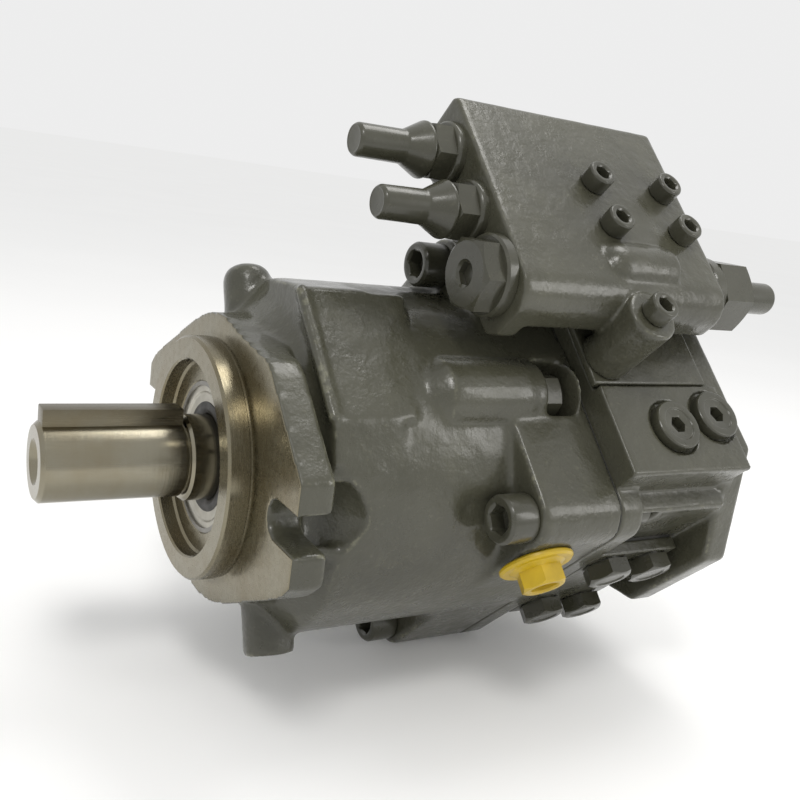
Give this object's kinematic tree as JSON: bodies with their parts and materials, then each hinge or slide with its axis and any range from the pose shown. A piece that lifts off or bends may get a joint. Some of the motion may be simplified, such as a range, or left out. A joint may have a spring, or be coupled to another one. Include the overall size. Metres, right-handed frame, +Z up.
{
  "type": "axial piston pump",
  "caption": "Swashplate axial piston pump with an open-slot mounting flange, keyed shaft, round casing and a bolted valve block with adjusters.",
  "frame": {"origin": "where the shaft axis meets the mounting face, at the foot of the pilot", "axes": "+X along the shaft from the drive end to the rear, the two flange slots on Y, +Z up; the rear half is turned 45 degrees about X"},
  "size_m": [0.409, 0.2546, 0.3274],
  "materials": {
    "casting": "dark olive-grey paint over rough cast iron, semi-gloss",
    "painted_hardware": "steel screws and nuts, overpainted with the casing colour",
    "machined_steel": "fine turned steel",
    "bearing_steel": "ground bearing steel",
    "spring_steel": "dark oiled spring steel",
    "bronze": "bearing bronze",
    "rotor_iron": "machined iron",
    "gasket": "dark fibre and rubber sheet",
    "seal_case": "pressed steel seal case",
    "closing_plastic": "yellow moulded transport cap"
  },
  "bodies": {
    "casing": {"housing": "casting", "shaft_seal": "seal_case", "seal_snap_ring": "spring_steel", "front_bearing_cup": "bearing_steel", "rear_bearing_cup": "bearing_steel", "rocker_shells": "bronze", "swashplate": "rotor_iron", "valve_plate": "bronze", "stroking_sleeve": "machined_steel", "stroking_piston": "machined_steel", "stroking_cap": "painted_hardware", "bias_guide": "machined_steel", "bias_piston": "machined_steel", "bias_spring": "spring_steel", "joint_gasket": "gasket", "port_plate": "casting", "through_bolts": "painted_hardware", "port_plugs": "painted_hardware", "rear_cover": "casting", "rear_cover_screws": "painted_hardware", "closing_cap": "closing_plastic", "drain_plug": "painted_hardware", "pressure_gasket": "gasket", "pressure_cover": "casting", "pressure_cover_bolts": "painted_hardware", "control_gasket": "gasket", "control_adapter": "casting", "control_block": "casting", "control_screws": "painted_hardware", "pressure_spring": "spring_steel", "flow_spring": "spring_steel", "power_spring": "spring_steel", "adjusting_screws": "machined_steel", "lock_nuts": "painted_hardware", "lock_washers": "painted_hardware", "pressure_cap": "painted_hardware", "flow_cap": "painted_hardware", "power_plug": "painted_hardware", "power_adjuster_nut": "painted_hardware", "power_adjuster": "painted_hardware", "gallery_plug": "painted_hardware"},
    "rotor": {"drive_shaft": "machined_steel", "shaft_key": "machined_steel", "front_bearing_cone": "bearing_steel", "rear_bearing_cone": "bearing_steel", "slipper_retainer": "machined_steel", "retainer_ball": "machined_steel", "slippers": "bronze", "pistons": "machined_steel", "cylinder_block": "rotor_iron", "block_spring": "spring_steel"},
    "front_rollers": {"front_bearing_rollers": "bearing_steel"},
    "rear_rollers": {"rear_bearing_rollers": "bearing_steel"},
    "pressure_spool": {"pressure_spool": "machined_steel"},
    "flow_spool": {"flow_spool": "machined_steel"},
    "power_piston": {"power_piston": "machined_steel"}
  },
  "joints": [
    {"name": "shaft_spin", "type": "hinge", "parent": "casing", "child": "rotor", "pos_m": [0, 0, 0], "axis": [1, 0, 0], "continuous": true},
    {"name": "front_rollers_spin", "type": "hinge", "parent": "casing", "child": "front_rollers", "pos_m": [0, 0, 0], "axis": [1, 0, 0], "continuous": true},
    {"name": "rear_rollers_spin", "type": "hinge", "parent": "casing", "child": "rear_rollers", "pos_m": [0, 0, 0], "axis": [1, 0, 0], "continuous": true},
    {"name": "pressure_spool_slide", "type": "slide", "parent": "casing", "child": "pressure_spool", "axis": [1, 0, 0], "range_m": [-0.003, 0], "deforming": ["pressure_spring"]},
    {"name": "flow_spool_slide", "type": "slide", "parent": "casing", "child": "flow_spool", "axis": [1, 0, 0], "range_m": [-0.003, 0], "deforming": ["flow_spring"]},
    {"name": "power_piston_slide", "type": "slide", "parent": "casing", "child": "power_piston", "axis": [1, 0, 0], "range_m": [-0.004, 0], "deforming": ["power_spring"]}
  ],
  "couplings": [
    {"joint": "front_rollers_spin", "follows": "shaft_spin", "ratio": 0.442},
    {"joint": "rear_rollers_spin", "follows": "shaft_spin", "ratio": 0.418}
  ]
}
